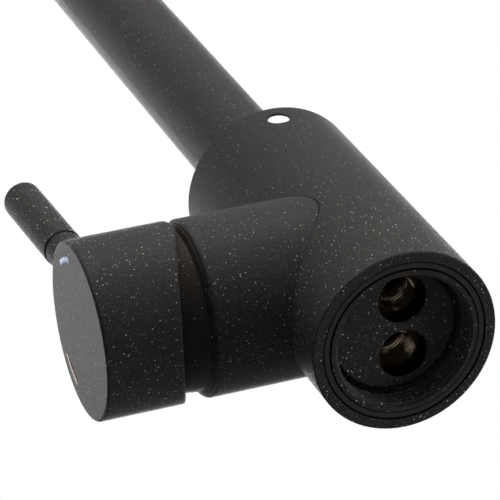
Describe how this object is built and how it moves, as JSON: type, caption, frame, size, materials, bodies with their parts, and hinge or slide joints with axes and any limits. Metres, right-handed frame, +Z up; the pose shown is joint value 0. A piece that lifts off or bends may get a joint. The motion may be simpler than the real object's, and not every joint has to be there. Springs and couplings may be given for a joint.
{
  "type": "kitchen mixer tap",
  "caption": "Single-lever kitchen mixer tap with a round barrel, side cartridge housing with a pin lever, and a swivelling arched tube spout, in a speckled dark stone-look coating.",
  "frame": {"origin": "centre of the base, on the worktop plane", "axes": "+Z up the barrel, +X along the cartridge towards the lever knob, +Y to the back, where the retaining screw is"},
  "size_m": [0.2737, 0.048, 0.3925],
  "materials": {
    "granite_coat": "matte, fine-grained dark stone-look coating with small white speckles",
    "seal_rubber": "smooth moulded black rubber",
    "white_nylon": "moulded white nylon",
    "dark_acetal": "moulded black acetal",
    "white_acetal": "moulded natural acetal",
    "grey_acetal": "moulded grey acetal",
    "alumina": "lapped alumina ceramic",
    "raw_brass": "machined, uncoated brass",
    "stainless_steel": "turned stainless steel",
    "plated_brass": "nickel-plated brass",
    "clear_acetal": "moulded pale acetal"
  },
  "bodies": {
    "body": {"body_casting": "granite_coat", "base_seal_ring": "seal_rubber", "spout_retaining_screw": "stainless_steel", "screw_hole_plug": "white_nylon", "spout_guide_ring": "dark_acetal", "cartridge_base": "white_acetal", "port_seals": "seal_rubber", "fixed_disc": "alumina", "cartridge_shell": "grey_acetal", "cartridge_nut": "raw_brass", "cover_o_ring": "seal_rubber", "dome_cover": "granite_coat"},
    "spout": {"spout_tube": "granite_coat", "spout_bush": "raw_brass", "spout_o_rings": "seal_rubber", "spout_glide_ring": "white_acetal", "outlet_bush": "raw_brass", "aerator_shell": "plated_brass", "aerator_insert": "clear_acetal", "aerator_seal": "seal_rubber"},
    "mix_turret": {"turret": "grey_acetal", "pivot_pin": "stainless_steel"},
    "disc_slider": {"moving_disc": "alumina", "disc_carrier": "white_acetal"},
    "lever": {"stem": "stainless_steel", "lever_knob": "granite_coat", "lever_pin": "granite_coat"}
  },
  "joints": [
    {"name": "spout_swivel", "type": "hinge", "parent": "body", "child": "spout", "pos_m": [0, 0, 0.075], "axis": [0, 0, 1], "continuous": true},
    {"name": "mix_turn", "type": "hinge", "parent": "body", "child": "mix_turret", "pos_m": [0.0431, 0, 0.0374], "axis": [1, 0, 0], "range_deg": [-50, 50]},
    {"name": "lever_lift", "type": "hinge", "parent": "mix_turret", "child": "lever", "pos_m": [0.0431, 0, 0.0374], "axis": [0, 1, 0], "range_deg": [0, 20]},
    {"name": "disc_slide", "type": "slide", "parent": "mix_turret", "child": "disc_slider", "axis": [0, 0, 1], "range_m": [0, 0.0053]}
  ],
  "couplings": [
    {"joint": "disc_slide", "follows": "lever_lift", "m_per_rad": 0.0149}
  ]
}
